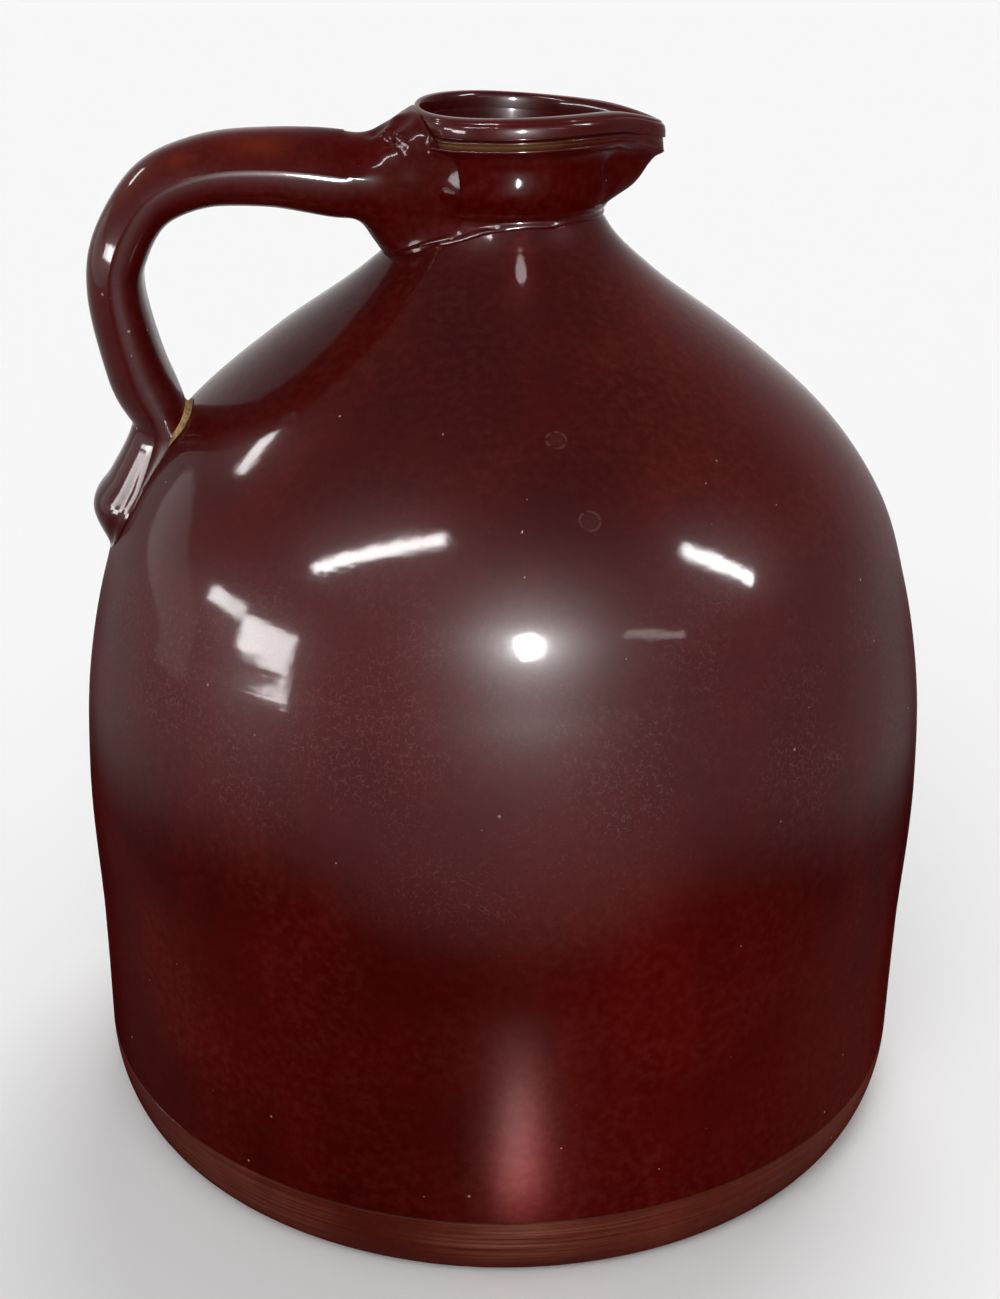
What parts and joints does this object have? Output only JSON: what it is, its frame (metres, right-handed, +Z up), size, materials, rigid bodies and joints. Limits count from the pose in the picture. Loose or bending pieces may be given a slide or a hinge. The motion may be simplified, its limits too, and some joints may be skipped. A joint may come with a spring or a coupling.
{
  "type": "stoneware jug",
  "caption": "Round-shouldered glazed stoneware jug with a narrow flared neck, rolled rim with a small pouring lip, and a broad strap handle from the neck to the shoulder",
  "frame": {"origin": "centre of the flat underside, where the jug stands", "axes": "+Z is up along the throat; the handle is on the -X side, turned a little to -Y; the pouring lip is on the +X side"},
  "size_m": [0.1962, 0.1962, 0.2308],
  "materials": {
    "body_glaze": "glossy",
    "rim_glaze": "glossy",
    "handle_glaze": "glossy",
    "foot_glaze": "satin",
    "bare_clay": "matte"
  },
  "bodies": {
    "root": {"foot_base": "foot_glaze", "lower_wall": "body_glaze", "shoulder_dome": "body_glaze", "neck_ring": "body_glaze", "neck_coil": "body_glaze", "collar": "rim_glaze", "rim_roll": "rim_glaze", "handle_root": "handle_glaze", "handle_strap": "handle_glaze", "handle_foot": "handle_glaze", "crotch_fillet": "bare_clay"}
  },
  "joints": []
}
